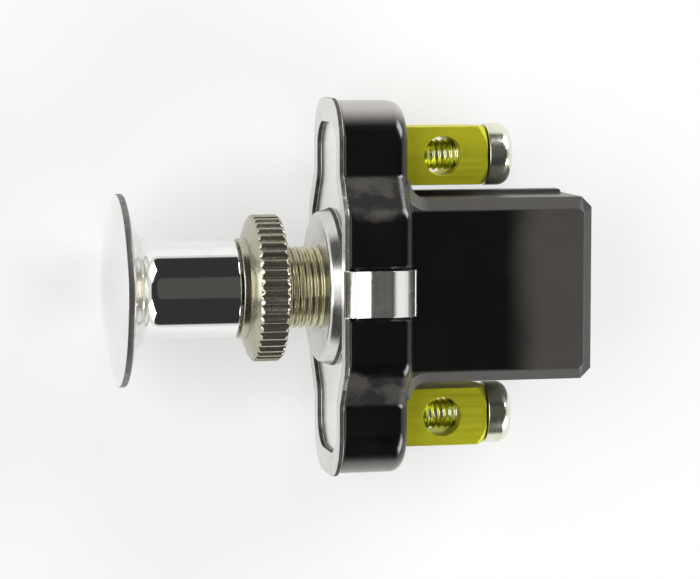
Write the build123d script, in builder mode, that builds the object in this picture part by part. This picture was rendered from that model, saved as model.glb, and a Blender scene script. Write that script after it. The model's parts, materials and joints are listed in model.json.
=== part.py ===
from build123d import *

import os
from math import atan2, tan

# Push-pull switch with a panel stem, a face nut and two screw terminals.
# All sizes are millimetres. +X runs back along the plunger, +Y along the two ears, and +Z is up
# from the side that the switch lies on. The origin is on the plunger's axis, in the plane of the
# boss that the panel seats against. The plunger is modelled pushed in.

# Running parts along the axis
shaft_radius = 3.175
travel = 9.5
running_gap = 0.05
guide_gap = 0.3
stop_gap = 0.3
press_gap = 0.03

# Threaded stem
thread_radius = 5.556
thread_gap = 0.05
stem_flange_lip = 2.044
stem_flange_thickness = 1.2
stem_tail_wall = 0.975
stem_recess = 0.2
stem_chamfer = 0.4

# Face nut, as it stands on the stem
nut_stand_off = 5.2
nut_radius = 9.9
nut_grip_length = 3.9
nut_edge_chamfer = 0.4
nut_cone_length = 0.8
nut_cone_step = 0.25
nut_collar_length = 1.0
nut_collar_wall = 1.144
nut_cone_drop = 0.5
knurl_count = 45
knurl_depth = 0.42
knurl_width = 0.9

# Knob
knob_gap = 0.3
knob_neck_radius = 6.65
knob_neck_length = 10.9
knob_flare_length = 2.6
knob_flare_lip = 1.6
knob_back_depth = 1.5
knob_rim_radius = 12.9
knob_rim_thickness = 1.0
knob_rim_rounding = 0.2
knob_dome_height = 1.7
knob_edge_chamfer = 0.3
knob_crown_wall = 2.2

# Mounting plate
sheet_thickness = 0.6
countersink_width = 0.944
countersink_depth = 0.45
seat_width = 3.5
boss_height = 1.5
boss_draft = 0.7
boss_edge_radius = 0.6
plate_recess_depth = 0.6
plate_overhang = 0.4
plate_side_rim = 2.0
plate_tip_rim = 3.2
channel_wall = 0.6
tab_half_width = 3.05
tab_gap = 0.05
tab_front_bend = 1.8
tab_rear_bend = 2.1
tab_fold_clear = 0.3

# Housing
insulator_thickness = 0.5
insulator_hole_gap = 0.8
flange_depth = 9.0
flange_front_chamfer = 0.25
flange_edge_radius = 1.8
well_gap = 0.1
ear_end_margin = 3.5
ear_side_margin = 4.6
ear_tip_radius = 6.0
ear_root_offset = 3.1
ear_root_radius = 1.2
ear_flare_run = 5.1
waist_step = 2.1
waist_shoulder_radius = 3.5
housing_side_wall = 2.5
housing_face_wall = 2.4
housing_end_wall = 2.4
box_flare_radius = 2.4
box_edge_chamfer = 1.5
box_corner_chamfer = 1.4
cavity_corner_radius = 1.0
rib_height = 0.6
rib_half_width = 1.2
rib_end_setback = 1.8
tab_groove_depth = 0.2
tab_groove_side_gap = 0.45

# Contacts and terminals
pocket_depth = 3.0
pocket_side_gap = 1.4
pocket_corner_radius = 2.0
strip_thickness = 0.8
strip_half_width = 3.2
strip_stem_gap = 1.1
strip_end_margin = 3.5
button_radius = 1.5
button_height = 0.8
button_shank_radius = 0.9
button_edge = 1.7
contact_gap = 0.1
bridge_thickness = 1.0
bridge_side_gap = 1.1
bridge_hole_gap = 0.1
bridge_corner_radius = 1.5
terminal_side_gap = 1.5
terminal_half_size = 3.9
terminal_length = 11.8
terminal_end_radius = 4.2
terminal_seat_gap = 0.1
shank_radius = 2.5
rivet_head_lip = 0.8
rivet_head_height = 0.8
wire_hole_radius = 2.65
wire_hole_setback = 5.6
tapping_run_out = 0.85
screw_radius = 2.083
screw_tip_gap = 0.45
screw_head_radius = 4.2
screw_head_gap = 0.3
screw_head_height = 3.4
screw_head_rounding = 1.9
screw_slot_width = 1.1
screw_slot_depth = 1.2

# Plunger furniture
ring_thickness = 0.8
ring_lip = 1.125
ring_groove_depth = 0.6
ring_mouth_half_width = 2.0
washer_thickness = 0.6
washer_lip = 1.825
carriage_boss_wall = 1.2
carriage_length = 9.0
carriage_depth_margin = 2.9
carriage_corner_radius = 1.2
carriage_end_room = 2.3
spring_space = 2.5
contact_spring_wire = 0.3
contact_spring_turns = 2.5
contact_spring_gap = 0.6
shaft_tail = 0.7
shaft_chamfer = 0.4
ball_radius = 1.0
ball_setback = 3.0
ball_sink = 0.025
detent_groove_depth = 0.3
detent_groove_half_width = 0.9
detent_spring_wire = 0.12
detent_spring_turns = 4.0
detent_spring_gap = 0.08
seat_gap = 0.05

# Distance within which a corner or an edge counts as lying on a station
pick_distance = 0.05

# Stations across the axis, worked outwards from the shaft
bore_radius = shaft_radius + running_gap
stem_tail_radius = bore_radius + stem_tail_wall
stem_flange_radius = thread_radius + stem_flange_lip
ring_radius = shaft_radius + ring_lip
washer_radius = shaft_radius + washer_lip
carriage_boss_radius = shaft_radius + press_gap + carriage_boss_wall
strip_inner_end = stem_tail_radius + strip_stem_gap
button_centre = strip_inner_end + button_edge
bridge_half_length = button_centre + button_edge
cavity_half_width = bridge_half_length + bridge_side_gap
carriage_half_width = cavity_half_width - guide_gap
carriage_half_depth = carriage_boss_radius + carriage_depth_margin
cavity_half_depth = carriage_half_depth + guide_gap
box_half_width = cavity_half_width + housing_side_wall
box_half_depth = cavity_half_depth + housing_face_wall
terminal_centre = box_half_width + terminal_side_gap + terminal_half_size
flange_half_length = terminal_centre + terminal_half_size + ear_end_margin
ear_half_depth = terminal_half_size + ear_side_margin
waist_half_depth = box_half_depth + waist_step
ear_root = box_half_width + ear_root_offset
waist_end = ear_root - ear_flare_run
strip_outer_end = terminal_centre + strip_end_margin
pocket_half_length = strip_outer_end + seat_gap
pocket_half_width = strip_half_width + pocket_side_gap
countersink_radius = thread_radius + countersink_width
boss_top_radius = countersink_radius + seat_width
boss_base_radius = boss_top_radius + boss_draft
channel_side_inset = plate_side_rim - channel_wall
channel_tip_inset = plate_tip_rim - plate_overhang - channel_wall

# Stations along the axis, worked back from the panel seat
rim_plane = boss_height
recess_plane = rim_plane + plate_recess_depth
plate_back = recess_plane + sheet_thickness
well_floor = plate_back + insulator_thickness
housing_front = rim_plane + sheet_thickness
flange_rear = housing_front + flange_depth
pocket_floor = well_floor + pocket_depth
strip_front = pocket_floor - strip_thickness
fixed_contact_face = pocket_floor + button_height
moving_contact_face = fixed_contact_face + contact_gap + travel
bridge_front = moving_contact_face + button_height
bridge_rear = bridge_front + bridge_thickness
washer_front = bridge_front - seat_gap - washer_thickness
front_ring_front = washer_front - seat_gap - ring_thickness
stem_rear = front_ring_front - travel - stop_gap
carriage_front = bridge_rear + spring_space
carriage_rear = carriage_front + carriage_length
rear_ring_front = carriage_rear + seat_gap
shaft_rear = rear_ring_front + ring_thickness + shaft_tail
cavity_rear = shaft_rear + carriage_end_room
box_rear = cavity_rear + housing_end_wall

# Stations in front of the panel seat
nut_rear = -nut_stand_off
nut_grip_front = nut_rear - nut_grip_length
nut_cone_front = nut_grip_front - nut_cone_length
nut_front = nut_cone_front - nut_collar_length
nut_bore_radius = thread_radius + thread_gap
nut_collar_radius = nut_bore_radius + nut_collar_wall
stem_front = nut_front + stem_recess
knob_neck_rear = nut_front - knob_gap
knob_neck_front = knob_neck_rear - knob_neck_length
knob_flare_front = knob_neck_front - knob_flare_length
knob_rim_back = knob_flare_front - knob_back_depth
knob_rim_front = knob_rim_back - knob_rim_thickness
knob_apex = knob_rim_front - knob_dome_height
knob_bore_end = knob_apex + knob_crown_wall

sides = {"upper": 1, "lower": -1}
os.makedirs("parts", exist_ok=True)


def save(piece, name):
    """Name one finished piece and write its STEP file."""
    piece.part.label = name
    export_step(piece.part, f"parts/{name}.step")


def turned(points):
    """Fill the closed outline of a turned piece, given as (X, radius) points, in the open sketch."""
    Polygon(*points, align=None)


def eared_outline(side_inset=0.0, tip_inset=0.0):
    """Outline of the flange as a sketch: a wide middle and two rounded ears.

    It is smaller by one inset along its sides and by another at the tips of its ears.
    """
    flare_angle = atan2(waist_half_depth - ear_half_depth, ear_flare_run)
    shift = side_inset * tan(flare_angle / 2)
    half_length = flange_half_length - tip_inset
    ear_half = ear_half_depth - side_inset
    waist_half = waist_half_depth - side_inset
    root = ear_root - shift
    shoulder = waist_end - shift
    quarter = [(shoulder, waist_half), (root, ear_half), (half_length, ear_half)]
    right = quarter + [(y, -z) for y, z in reversed(quarter)]
    left = [(-y, -z) for y, z in right]
    roundings = {
        shoulder: waist_shoulder_radius - side_inset,
        root: ear_root_radius + side_inset,
        half_length: ear_tip_radius - side_inset,
    }
    with BuildSketch() as outline:
        Polygon(*right, *left, align=None)
        for station, radius in roundings.items():
            fillet([v for v in outline.vertices() if abs(abs(v.X) - station) < pick_distance], radius)
    return outline.sketch


def terminal_plane(side):
    """Plane through one terminal's axis: local x runs back along +X and local y along +Y."""
    return Plane(origin=(0, side * terminal_centre, 0), x_dir=(1, 0, 0), z_dir=(0, 0, 1))


def terminal_axis(side):
    """Axis of one terminal's turned features."""
    return Axis((0, side * terminal_centre, 0), (1, 0, 0))


# Knob: domed head, hollow flare and neck, turned in one piece with a blind bore for the shaft
with BuildPart() as knob:
    with BuildSketch(Plane.XY):
        with BuildLine():
            dome_start = (knob_rim_front, knob_rim_radius - knob_rim_rounding)
            back_start = (knob_rim_back, knob_rim_radius - knob_rim_rounding)
            land_front = (knob_rim_front + knob_rim_rounding, knob_rim_radius)
            land_back = (knob_rim_back - knob_rim_rounding, knob_rim_radius)
            dome_radius = (dome_start[1] ** 2 + knob_dome_height ** 2) / (2 * knob_dome_height)
            RadiusArc((knob_apex, 0), dome_start, dome_radius)
            RadiusArc(dome_start, land_front, knob_rim_rounding)
            Line(land_front, land_back)
            RadiusArc(land_back, back_start, knob_rim_rounding)
            flare_start = (knob_flare_front, knob_neck_radius + knob_flare_lip)
            flare_end = (knob_neck_front, knob_neck_radius)
            Line(back_start, flare_start)
            TangentArc(flare_end, flare_start, tangent=(-1, 0))
            Polyline(
                flare_end,
                (knob_neck_rear - knob_edge_chamfer, knob_neck_radius),
                (knob_neck_rear, knob_neck_radius - knob_edge_chamfer),
                (knob_neck_rear, shaft_radius),
                (knob_bore_end, shaft_radius),
                (knob_bore_end, 0),
                (knob_apex, 0),
            )
        make_face()
    revolve(axis=Axis.X)
save(knob, "knob")

# Plunger shaft, with two ring grooves and a cross hole for the detent balls
detent_station = stem_rear - ball_setback
with BuildPart() as plunger_shaft:
    with BuildSketch(Plane.XY):
        turned([
            (knob_bore_end, 0),
            (knob_bore_end, shaft_radius),
            (shaft_rear - shaft_chamfer, shaft_radius),
            (shaft_rear, shaft_radius - shaft_chamfer),
            (shaft_rear, 0),
        ])
    revolve(axis=Axis.X)
    with BuildSketch(Plane.XY):
        for ring_front in (front_ring_front, rear_ring_front):
            turned([
                (ring_front - seat_gap, shaft_radius - ring_groove_depth),
                (ring_front - seat_gap, ring_radius),
                (ring_front + ring_thickness + seat_gap, ring_radius),
                (ring_front + ring_thickness + seat_gap, shaft_radius - ring_groove_depth),
            ])
    revolve(axis=Axis.X, mode=Mode.SUBTRACT)
    with BuildSketch(Plane.XY):
        with Locations((detent_station, 0)):
            Circle(ball_radius + running_gap)
    extrude(amount=shaft_radius, both=True, mode=Mode.SUBTRACT)
save(plunger_shaft, "plunger_shaft")

# Threaded stem: plain over its crests, with a flange behind the plate and a guide tail
with BuildPart() as threaded_stem:
    with BuildSketch(Plane.XY):
        turned([
            (stem_front, bore_radius),
            (stem_front, thread_radius - stem_chamfer),
            (stem_front + stem_chamfer, thread_radius),
            (sheet_thickness, thread_radius),
            (sheet_thickness, stem_flange_radius),
            (sheet_thickness + stem_flange_thickness, stem_flange_radius),
            (sheet_thickness + stem_flange_thickness, stem_tail_radius),
            (stem_rear, stem_tail_radius),
            (stem_rear, bore_radius),
        ])
    revolve(axis=Axis.X)
    with BuildSketch(Plane.XY):
        for groove in (detent_station, detent_station - travel):
            turned([
                (groove - detent_groove_half_width, 0),
                (groove - detent_groove_half_width, bore_radius),
                (groove, bore_radius + detent_groove_depth),
                (groove + detent_groove_half_width, bore_radius),
                (groove + detent_groove_half_width, 0),
            ])
    revolve(axis=Axis.X, mode=Mode.SUBTRACT)
save(threaded_stem, "threaded_stem")

# Face nut: straight-knurled grip, cone and collar
with BuildPart() as face_nut:
    with BuildSketch(Plane.XY):
        turned([
            (nut_rear, nut_bore_radius),
            (nut_rear, nut_radius - nut_edge_chamfer),
            (nut_rear - nut_edge_chamfer, nut_radius),
            (nut_grip_front + nut_edge_chamfer, nut_radius),
            (nut_grip_front, nut_radius - nut_cone_drop),
            (nut_cone_front, nut_collar_radius + nut_cone_step),
            (nut_cone_front, nut_collar_radius),
            (nut_front, nut_collar_radius),
            (nut_front, nut_bore_radius),
        ])
    revolve(axis=Axis.X)
    with BuildSketch(Plane.YZ.offset(nut_rear)):
        with PolarLocations(nut_radius, knurl_count):
            Polygon((-knurl_depth, 0), (knurl_depth, knurl_width), (knurl_depth, -knurl_width), align=None)
    extrude(amount=-(nut_grip_length + nut_cone_length), mode=Mode.SUBTRACT)
save(face_nut, "face_nut")

# Mounting plate: pressed sheet with a boss, two channelled ears and two tabs folded over the flange
tab_inner = waist_half_depth - tab_groove_depth + tab_gap
tab_outer = tab_inner + sheet_thickness
tab_fold_front = flange_rear - tab_groove_depth + tab_gap
tab_fold_rear = tab_fold_front + sheet_thickness
tab_end = box_half_depth + tab_fold_clear
with BuildPart() as mounting_plate:
    with BuildSketch(Plane.YZ.offset(rim_plane)):
        add(eared_outline(tip_inset=-plate_overhang))
    extrude(amount=sheet_thickness)
    with BuildSketch(Plane.YZ.offset(rim_plane)):
        add(eared_outline(channel_side_inset, channel_tip_inset))
    extrude(amount=plate_back - rim_plane)
    with BuildSketch(Plane.YZ.offset(rim_plane)):
        add(eared_outline(plate_side_rim, plate_tip_rim - plate_overhang))
    extrude(amount=plate_recess_depth, mode=Mode.SUBTRACT)
    with BuildSketch(Plane.XY):
        turned([(0, 0), (0, boss_top_radius), (recess_plane, boss_base_radius), (recess_plane, 0)])
    revolve(axis=Axis.X)
    boss_edge = mounting_plate.faces().sort_by(Axis.X)[0].edges()
    fillet(boss_edge, boss_edge_radius)
    with BuildSketch(Plane.XY):
        turned([
            (-seat_gap, 0),
            (0, countersink_radius),
            (countersink_depth, thread_radius),
            (sheet_thickness, thread_radius),
            (sheet_thickness, boss_top_radius - sheet_thickness),
            (plate_back, boss_base_radius - sheet_thickness),
            (plate_back, 0),
        ])
    revolve(axis=Axis.X, mode=Mode.SUBTRACT)
    with BuildSketch(Plane.XZ):
        bend_start = tab_outer - tab_front_bend
        for side in sides.values():
            Polygon(
                (rim_plane - seat_gap, side * bend_start),
                (housing_front + seat_gap, side * bend_start),
                (housing_front + seat_gap, side * (tab_outer + seat_gap)),
                (rim_plane - seat_gap, side * (tab_outer + seat_gap)),
                align=None,
            )
    extrude(amount=tab_half_width, both=True, mode=Mode.SUBTRACT)
    with BuildSketch(Plane.XZ):
        for side in sides.values():
            with BuildLine():
                Polyline(
                    (rim_plane, side * (tab_outer - plate_side_rim)),
                    (rim_plane, side * tab_outer),
                    (tab_fold_rear, side * tab_outer),
                    (tab_fold_rear, side * tab_end),
                    (tab_fold_front, side * tab_end),
                    (tab_fold_front, side * tab_inner),
                    (housing_front, side * tab_inner),
                    (housing_front, side * (tab_outer - plate_side_rim)),
                    close=True,
                )
            make_face()
        bends = {
            (rim_plane, tab_outer): tab_front_bend,
            (tab_fold_rear, tab_outer): tab_rear_bend,
            (housing_front, tab_inner): tab_front_bend - sheet_thickness,
            (tab_fold_front, tab_inner): tab_rear_bend - sheet_thickness,
        }
        for (station, height), radius in bends.items():
            distances = {v: abs(v.X - station) + abs(abs(v.Y) - height) for v in vertices()}
            fillet([v for v, distance in distances.items() if distance < pick_distance], radius)
    extrude(amount=tab_half_width, both=True)
save(mounting_plate, "mounting_plate")

# Insulator: thin fibre sheet between the plate and the live parts
with BuildPart() as insulator_sheet:
    with BuildSketch(Plane.YZ.offset(plate_back)):
        add(eared_outline(channel_side_inset, channel_tip_inset))
        Circle(stem_tail_radius + insulator_hole_gap, mode=Mode.SUBTRACT)
    extrude(amount=insulator_thickness)
save(insulator_sheet, "insulator_sheet")

# Rear box of the housing, with its sides flaring out to meet the flange
box_root = flange_rear - flange_edge_radius
terminal_seat_half = terminal_half_size + terminal_seat_gap
with BuildPart() as box_body:
    with BuildSketch(Plane.XY):
        with BuildLine():
            flare_out = box_half_width + box_flare_radius
            flare_rear = flange_rear + box_flare_radius
            Line((box_root, flare_out), (flange_rear, flare_out))
            RadiusArc((flange_rear, flare_out), (flare_rear, box_half_width), -box_flare_radius)
            Polyline(
                (flare_rear, box_half_width),
                (box_rear - box_corner_chamfer, box_half_width),
                (box_rear, box_half_width - box_corner_chamfer),
                (box_rear, -box_half_width + box_corner_chamfer),
                (box_rear - box_corner_chamfer, -box_half_width),
                (flare_rear, -box_half_width),
            )
            RadiusArc((flare_rear, -box_half_width), (flange_rear, -flare_out), -box_flare_radius)
            Polyline((flange_rear, -flare_out), (box_root, -flare_out), (box_root, flare_out))
        make_face()
    extrude(amount=box_half_depth, both=True)
    rim_edges = [
        e
        for e in box_body.edges()
        if abs(e.center().Z) > box_half_depth / 2
        and e.center().X > box_root + pick_distance
        and abs((e @ 0).Z - (e @ 1).Z) < pick_distance
    ]
    chamfer(rim_edges, box_edge_chamfer)

# Housing: eared flange and rear box in one moulding, hollow from the front
with BuildPart() as housing:
    with BuildSketch(Plane.YZ.offset(housing_front)):
        add(eared_outline())
    extrude(amount=flange_depth)
    fillet(housing.faces().sort_by(Axis.X)[-1].edges(), flange_edge_radius)
    chamfer(housing.faces().sort_by(Axis.X)[0].edges(), flange_front_chamfer)
    add(box_body.part)
    rib_rear = box_rear - rib_end_setback
    with BuildSketch(Plane.XY):
        with BuildLine():
            Polyline(
                (flange_rear - seat_gap, box_half_width - rib_height),
                (flange_rear - seat_gap, box_half_width + rib_height),
                (rib_rear - rib_height, box_half_width + rib_height),
                (rib_rear, box_half_width - rib_height),
                close=True,
            )
        make_face()
    extrude(amount=rib_half_width, both=True)
    with BuildSketch(Plane.YZ.offset(housing_front)):
        add(eared_outline(channel_side_inset - well_gap, channel_tip_inset - well_gap))
    extrude(amount=well_floor - housing_front, mode=Mode.SUBTRACT)
    with BuildSketch(Plane.YZ.offset(well_floor)):
        RectangleRounded(2 * cavity_half_width, 2 * cavity_half_depth, cavity_corner_radius)
    extrude(amount=cavity_rear - well_floor, mode=Mode.SUBTRACT)
    with BuildSketch(Plane.YZ.offset(well_floor)):
        RectangleRounded(2 * pocket_half_length, 2 * pocket_half_width, pocket_corner_radius)
    extrude(amount=pocket_depth, mode=Mode.SUBTRACT)
    with BuildSketch(Plane.YZ.offset(pocket_floor)):
        with Locations(*[(side * terminal_centre, 0) for side in sides.values()]):
            Circle(shank_radius + seat_gap)
    extrude(amount=flange_depth, mode=Mode.SUBTRACT)
    with BuildSketch(Plane.YZ.offset(flange_rear)):
        with Locations(*[(side * terminal_centre, 0) for side in sides.values()]):
            Rectangle(2 * terminal_seat_half, 2 * terminal_seat_half)
    extrude(amount=box_flare_radius, mode=Mode.SUBTRACT)
    groove_half_width = tab_half_width + tab_groove_side_gap
    groove_floor = waist_half_depth - tab_groove_depth
    groove_rear = flange_rear - tab_groove_depth
    front_cut = tab_front_bend - sheet_thickness
    rear_cut = tab_rear_bend - sheet_thickness
    for side in sides.values():
        with BuildSketch(Plane.XZ):
            with BuildLine():
                Polyline(
                    (housing_front, side * (groove_floor - front_cut)),
                    (housing_front + front_cut, side * groove_floor),
                    (groove_rear - rear_cut, side * groove_floor),
                    (groove_rear, side * (groove_floor - rear_cut)),
                    (groove_rear, side * box_half_depth),
                    (flange_rear + tab_groove_depth, side * box_half_depth),
                    (flange_rear + tab_groove_depth, side * (waist_half_depth + tab_groove_depth)),
                    (housing_front, side * (waist_half_depth + tab_groove_depth)),
                    close=True,
                )
            make_face()
        extrude(amount=groove_half_width, both=True, mode=Mode.SUBTRACT)
save(housing, "housing")


def make_terminal_post(side):
    """Square brass post, turned at its free end, with a riveted shank through the ear."""
    wire_hole = flange_rear + wire_hole_setback
    post_rear = flange_rear + terminal_length
    tapped_end = wire_hole - wire_hole_radius - tapping_run_out
    with BuildPart() as post:
        with BuildSketch(Plane.YZ.offset(flange_rear)):
            with Locations((side * terminal_centre, 0)):
                Rectangle(2 * terminal_half_size, 2 * terminal_half_size)
        extrude(amount=terminal_length)
        with BuildSketch(terminal_plane(side)):
            corner_radius = 2 * terminal_half_size
            cone_start = post_rear - (corner_radius - terminal_end_radius)
            turned([
                (flange_rear, 0),
                (flange_rear, corner_radius),
                (cone_start, corner_radius),
                (post_rear, terminal_end_radius),
                (post_rear, 0),
            ])
        revolve(axis=terminal_axis(side), mode=Mode.INTERSECT)
        with BuildSketch(terminal_plane(side)):
            turned([
                (strip_front - rivet_head_height, 0),
                (strip_front - rivet_head_height, shank_radius),
                (strip_front, shank_radius + rivet_head_lip),
                (strip_front, shank_radius),
                (flange_rear, shank_radius),
                (flange_rear, 0),
            ])
        revolve(axis=terminal_axis(side))
        with BuildSketch(terminal_plane(side)):
            turned([
                (tapped_end, 0),
                (tapped_end, screw_radius + thread_gap),
                (post_rear, screw_radius + thread_gap),
                (post_rear, 0),
            ])
        revolve(axis=terminal_axis(side), mode=Mode.SUBTRACT)
        with BuildSketch(terminal_plane(side)):
            with Locations((wire_hole, 0)):
                Circle(wire_hole_radius)
        extrude(amount=2 * terminal_half_size, both=True, mode=Mode.SUBTRACT)
    return post


def make_terminal_screw(side):
    """Round-headed slotted screw, turned right in."""
    wire_hole = flange_rear + wire_hole_setback
    head_front = flange_rear + terminal_length + screw_head_gap
    head_rear = head_front + screw_head_height
    with BuildPart() as screw:
        with BuildSketch(terminal_plane(side)):
            turned([
                (wire_hole - wire_hole_radius + screw_tip_gap, 0),
                (wire_hole - wire_hole_radius + screw_tip_gap, screw_radius),
                (head_front, screw_radius),
                (head_front, screw_head_radius),
                (head_rear, screw_head_radius),
                (head_rear, 0),
            ])
        revolve(axis=terminal_axis(side))
        fillet(screw.edges().filter_by(GeomType.CIRCLE).sort_by(Axis.X)[-1], screw_head_rounding)
        with BuildSketch(Plane.YZ.offset(head_rear - screw_slot_depth)):
            with Locations((side * terminal_centre, 0)):
                Rectangle(2 * screw_head_radius, screw_slot_width)
        extrude(amount=screw_slot_depth, mode=Mode.SUBTRACT)
    return screw


def make_fixed_contact(side):
    """Brass strip from a terminal's rivet in to the contact button."""
    middle = side * (strip_inner_end + strip_outer_end) / 2
    with BuildPart() as strip:
        with BuildSketch(Plane.YZ.offset(strip_front)):
            with Locations((middle, 0)):
                RectangleRounded(
                    strip_outer_end - strip_inner_end, 2 * strip_half_width, bridge_corner_radius
                )
            with Locations((side * terminal_centre, 0)):
                Circle(shank_radius, mode=Mode.SUBTRACT)
            with Locations((side * button_centre, 0)):
                Circle(button_shank_radius, mode=Mode.SUBTRACT)
        extrude(amount=strip_thickness)
    return strip


def make_button(side, head_front, shank_front, shank_length):
    """Contact rivet: a flat head and a shank through the strip that carries it."""
    with BuildPart() as button:
        with BuildSketch(Plane.YZ.offset(head_front)):
            with Locations((side * button_centre, 0)):
                Circle(button_radius)
        extrude(amount=button_height)
        with BuildSketch(Plane.YZ.offset(shank_front)):
            with Locations((side * button_centre, 0)):
                Circle(button_shank_radius)
        extrude(amount=shank_length)
    return button


def make_retaining_ring(ring_front):
    """Open ring that snaps into a groove of the shaft."""
    with BuildPart() as ring:
        with BuildSketch(Plane.YZ.offset(ring_front)):
            Circle(ring_radius)
            Circle(shaft_radius - ring_groove_depth + seat_gap, mode=Mode.SUBTRACT)
            with Locations((ring_radius, 0)):
                Rectangle(2 * ring_radius, 2 * ring_mouth_half_width, mode=Mode.SUBTRACT)
        extrude(amount=ring_thickness)
    return ring


def make_coil(start, direction, radius, wire, length, turns):
    """Round-wire coil spring of the given mean radius, along a direction from its start."""
    with BuildPart() as coil:
        with BuildLine() as wire_line:
            Helix(length / turns, length, radius, center=start, direction=direction)
        with BuildSketch(Plane(origin=wire_line.line @ 0, z_dir=wire_line.line % 0)):
            Circle(wire)
        sweep(is_frenet=True)
    return coil


for name, side in sides.items():
    save(make_terminal_post(side), f"terminal_post_{name}")
    save(make_terminal_screw(side), f"terminal_screw_{name}")
    save(make_fixed_contact(side), f"fixed_contact_{name}")
    save(make_button(side, pocket_floor, strip_front, strip_thickness), f"fixed_button_{name}")
    save(make_button(side, moving_contact_face, bridge_front, bridge_thickness), f"moving_button_{name}")

# Contact carriage: insulating block on the shaft, with a boss that carries the bridge
with BuildPart() as contact_carriage:
    with BuildSketch(Plane.YZ.offset(carriage_front)):
        RectangleRounded(2 * carriage_half_width, 2 * carriage_half_depth, carriage_corner_radius)
    extrude(amount=carriage_length)
    with BuildSketch(Plane.YZ.offset(bridge_front)):
        Circle(carriage_boss_radius)
    extrude(amount=carriage_front - bridge_front)
    with BuildSketch(Plane.YZ.offset(bridge_front)):
        Circle(shaft_radius + press_gap)
    extrude(amount=carriage_rear - bridge_front, mode=Mode.SUBTRACT)
save(contact_carriage, "contact_carriage")

# Bridging contact: flat bar that closes the circuit when the knob is pulled
with BuildPart() as bridging_contact:
    with BuildSketch(Plane.YZ.offset(bridge_front)):
        RectangleRounded(
            2 * bridge_half_length, 2 * (carriage_boss_radius + bridge_thickness), bridge_corner_radius
        )
        Circle(carriage_boss_radius + bridge_hole_gap, mode=Mode.SUBTRACT)
        with Locations(*[(side * button_centre, 0) for side in sides.values()]):
            Circle(button_shank_radius, mode=Mode.SUBTRACT)
    extrude(amount=bridge_thickness)
save(bridging_contact, "bridging_contact")

# Fibre washer between the bridge and the front ring
with BuildPart() as fibre_washer:
    with BuildSketch(Plane.YZ.offset(washer_front)):
        Circle(washer_radius)
        Circle(bore_radius, mode=Mode.SUBTRACT)
    extrude(amount=washer_thickness)
save(fibre_washer, "fibre_washer")

save(make_retaining_ring(front_ring_front), "front_retaining_ring")
save(make_retaining_ring(rear_ring_front), "rear_retaining_ring")

# Contact spring round the carriage's boss
spring_end_room = contact_spring_wire + seat_gap
contact_spring = make_coil(
    (bridge_rear + spring_end_room, 0, 0),
    (1, 0, 0),
    carriage_boss_radius + contact_spring_gap + contact_spring_wire,
    contact_spring_wire,
    spring_space - 2 * spring_end_room,
    contact_spring_turns,
)
save(contact_spring, "contact_spring")

# Detent: two balls pressed out of the shaft's cross hole by a spring
ball_centre = shaft_radius - ball_sink - ball_radius
for name, side in {"near": 1, "far": -1}.items():
    with BuildPart() as detent_ball:
        with Locations((detent_station, 0, side * ball_centre)):
            Sphere(ball_radius)
    save(detent_ball, f"detent_ball_{name}")
detent_spring_half = ball_centre - ball_radius - detent_spring_wire - detent_spring_gap
detent_spring = make_coil(
    (detent_station, 0, -detent_spring_half),
    (0, 0, 1),
    ball_radius - detent_spring_wire - detent_spring_gap,
    detent_spring_wire,
    2 * detent_spring_half,
    detent_spring_turns,
)
save(detent_spring, "detent_spring")
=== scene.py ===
"""Looks of a push-pull panel switch: its finishes, turned metal, studio and camera.

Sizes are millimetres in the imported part's frame. They become metres where a mesh is made.
"""

import json
import logging
import math
from collections.abc import Callable, Iterable, Sequence
from dataclasses import dataclass
from enum import Enum

import bmesh
import bpy
from mathutils import Matrix, Vector

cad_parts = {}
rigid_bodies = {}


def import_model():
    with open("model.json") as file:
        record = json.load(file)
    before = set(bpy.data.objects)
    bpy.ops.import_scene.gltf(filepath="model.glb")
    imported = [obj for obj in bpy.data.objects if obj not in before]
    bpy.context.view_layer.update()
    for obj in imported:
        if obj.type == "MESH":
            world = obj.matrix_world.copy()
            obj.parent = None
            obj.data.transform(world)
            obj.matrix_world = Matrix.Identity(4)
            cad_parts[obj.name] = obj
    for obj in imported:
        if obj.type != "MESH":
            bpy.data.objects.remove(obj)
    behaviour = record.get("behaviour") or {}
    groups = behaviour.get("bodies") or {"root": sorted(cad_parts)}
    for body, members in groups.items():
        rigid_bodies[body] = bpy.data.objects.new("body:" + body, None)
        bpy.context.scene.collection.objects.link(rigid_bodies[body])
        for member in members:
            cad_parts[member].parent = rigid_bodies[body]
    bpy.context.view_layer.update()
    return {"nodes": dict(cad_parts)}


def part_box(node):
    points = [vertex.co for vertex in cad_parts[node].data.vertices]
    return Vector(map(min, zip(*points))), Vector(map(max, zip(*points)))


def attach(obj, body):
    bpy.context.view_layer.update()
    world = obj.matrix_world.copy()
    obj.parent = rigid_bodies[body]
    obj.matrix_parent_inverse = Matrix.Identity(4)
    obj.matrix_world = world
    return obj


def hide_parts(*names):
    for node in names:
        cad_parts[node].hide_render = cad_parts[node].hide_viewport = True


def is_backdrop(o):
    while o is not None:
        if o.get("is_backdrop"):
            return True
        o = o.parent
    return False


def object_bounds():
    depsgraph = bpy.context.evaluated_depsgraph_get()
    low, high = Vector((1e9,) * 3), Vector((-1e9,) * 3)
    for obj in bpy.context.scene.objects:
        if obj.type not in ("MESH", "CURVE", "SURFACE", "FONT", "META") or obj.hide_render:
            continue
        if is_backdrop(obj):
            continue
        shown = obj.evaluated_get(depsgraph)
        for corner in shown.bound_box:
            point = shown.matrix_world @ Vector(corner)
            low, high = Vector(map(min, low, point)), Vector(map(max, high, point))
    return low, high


LOG = logging.getLogger("push_pull_switch")
MM = 0.001
SHARP_DEG = 38.0
BEVEL_SAMPLES = 6
PHOTO_WIDTH = 700
Colour = tuple[float, float, float]
Point = tuple[float, float]
Range = tuple[float, float]
Relief = Callable[[float, float, float], float]


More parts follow.
